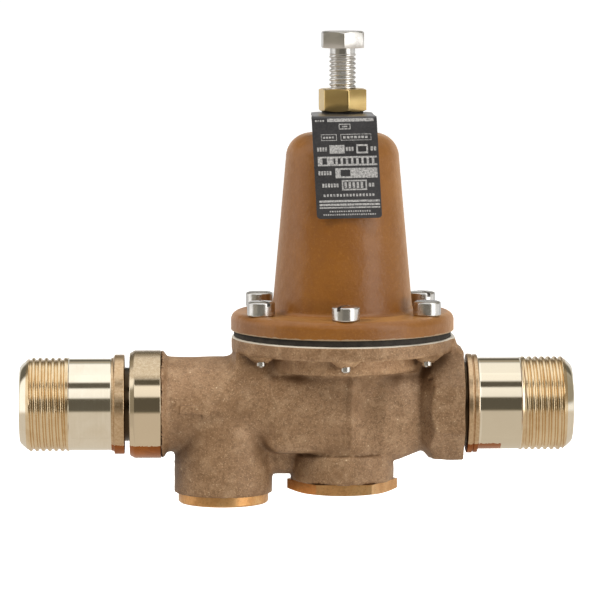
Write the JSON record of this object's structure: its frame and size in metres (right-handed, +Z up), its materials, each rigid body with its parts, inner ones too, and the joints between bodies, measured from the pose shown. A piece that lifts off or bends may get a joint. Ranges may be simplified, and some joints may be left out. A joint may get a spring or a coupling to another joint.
{
  "type": "pressure reducing valve",
  "caption": "Inline pressure reducing valve: cast body with strainer and plug bosses, bolted spring cage, adjusting bolt, union inlet and threaded pipe ends.",
  "frame": {"origin": "centre of the inlet end face, on the pipe's axis", "axes": "+X along the pipe in the direction of flow, +Z up along the adjusting bolt, +Y across the pipe, away from the side with the arrow and the nameplate"},
  "size_m": [0.1918, 0.0774, 0.1637],
  "materials": {
    "bronze_casting": "sand-cast bronze, blasted",
    "bright_brass": "turned and polished",
    "yellow_brass": "machined",
    "plug_bronze": "machined, tarnished",
    "cage_paint": "semi-gloss orange-brown paint",
    "stainless": "machined stainless steel",
    "spring_steel": "drawn spring wire",
    "black_rubber": "matte",
    "black_plate": "printed black sheet metal"
  },
  "bodies": {
    "housing": {"valve_body": "bronze_casting", "spring_cage": "cage_paint", "cage_screws": "stainless", "diaphragm": "black_rubber", "range_spring": "spring_steel", "seat_ring": "plug_bronze", "seat_seal": "black_rubber", "bottom_plug": "plug_bronze", "bottom_plug_seal": "black_rubber", "strainer_plug": "plug_bronze", "strainer_plug_seal": "black_rubber", "strainer_screen": "stainless", "inlet_tailpiece": "bright_brass", "inlet_union_nut": "bright_brass", "inlet_gasket": "black_rubber", "outlet_tailpiece": "bright_brass", "outlet_seal": "black_rubber"},
    "spring_disc": {"upper_spring_disc": "stainless"},
    "adjuster": {"adjusting_bolt": "stainless"},
    "nut_washer": {"lock_nut_washer": "black_rubber"},
    "nut": {"lock_nut": "yellow_brass"},
    "tag": {"nameplate": "black_plate"},
    "stem_group": {"stem": "stainless", "stem_nut": "stainless", "lower_spring_plate": "stainless", "diaphragm_washer": "plug_bronze", "disc_holder": "plug_bronze", "valve_disc": "black_rubber", "disc_nut": "stainless"}
  },
  "joints": [
    {"name": "adjuster_turn", "type": "hinge", "parent": "spring_disc", "child": "adjuster", "pos_m": [0.112, 0, 0.1], "axis": [0, 0, 1], "range_deg": [-2520, 720]},
    {"name": "adjuster_travel", "type": "slide", "parent": "housing", "child": "spring_disc", "axis": [0, 0, 1], "range_m": [-0.01112, 0.00318]},
    {"name": "locknut_turn", "type": "hinge", "parent": "nut_washer", "child": "nut", "pos_m": [0.112, 0, 0.105], "axis": [0, 0, 1], "range_deg": [0, 540]},
    {"name": "locknut_travel", "type": "slide", "parent": "housing", "child": "nut_washer", "axis": [0, 0, 1], "range_m": [0, 0.00239]},
    {"name": "tag_swing", "type": "hinge", "parent": "housing", "child": "tag", "pos_m": [0.112, 0, 0.1], "axis": [0, 0, 1], "continuous": true},
    {"name": "stem_travel", "type": "slide", "parent": "housing", "child": "stem_group", "axis": [0, 0, 1], "range_m": [0, 0.003], "deforming": ["range_spring", "diaphragm"]}
  ],
  "couplings": [
    {"joint": "adjuster_travel", "follows": "adjuster_turn", "m_per_rad": 0.00025266},
    {"joint": "locknut_travel", "follows": "locknut_turn", "m_per_rad": 0.00025266}
  ]
}
